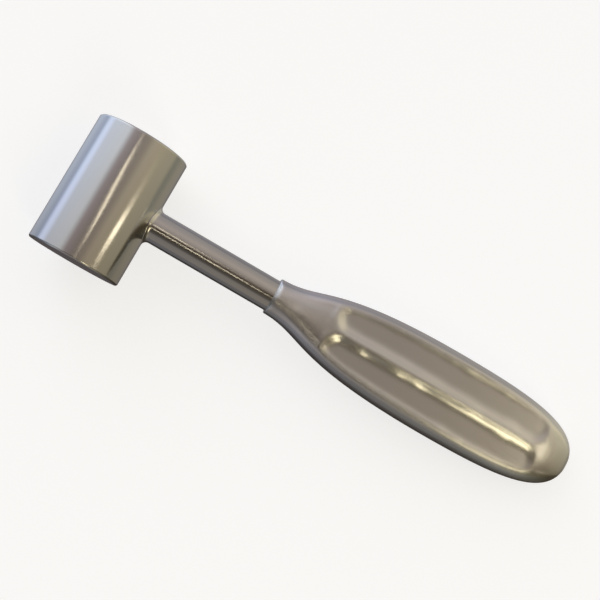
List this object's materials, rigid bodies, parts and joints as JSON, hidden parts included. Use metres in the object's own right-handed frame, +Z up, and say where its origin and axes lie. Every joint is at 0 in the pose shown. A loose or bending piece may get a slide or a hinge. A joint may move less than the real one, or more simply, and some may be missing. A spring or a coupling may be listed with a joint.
{
  "type": "surgical mallet",
  "caption": "Bone mallet with a solid round steel head, a turned shank and a hollow flattened handle with long flutes on both broad faces.",
  "frame": {"origin": "middle of the footprint on the surface the mallet lies on, centred between the head's far side and the handle's tail", "axes": "+X runs from the head to the handle's tail, Y is the axis of the head, +Z is up as the mallet lies at rest"},
  "size_m": [0.2382, 0.0564, 0.04],
  "materials": {
    "head_steel": "satin polished, turned",
    "shank_steel": "satin polished lengthways",
    "handle_steel": "satin polished lengthways"
  },
  "bodies": {
    "root": {"head": "head_steel", "shank": "shank_steel", "handle_upper_half": "handle_steel", "handle_lower_half": "handle_steel"}
  },
  "joints": []
}
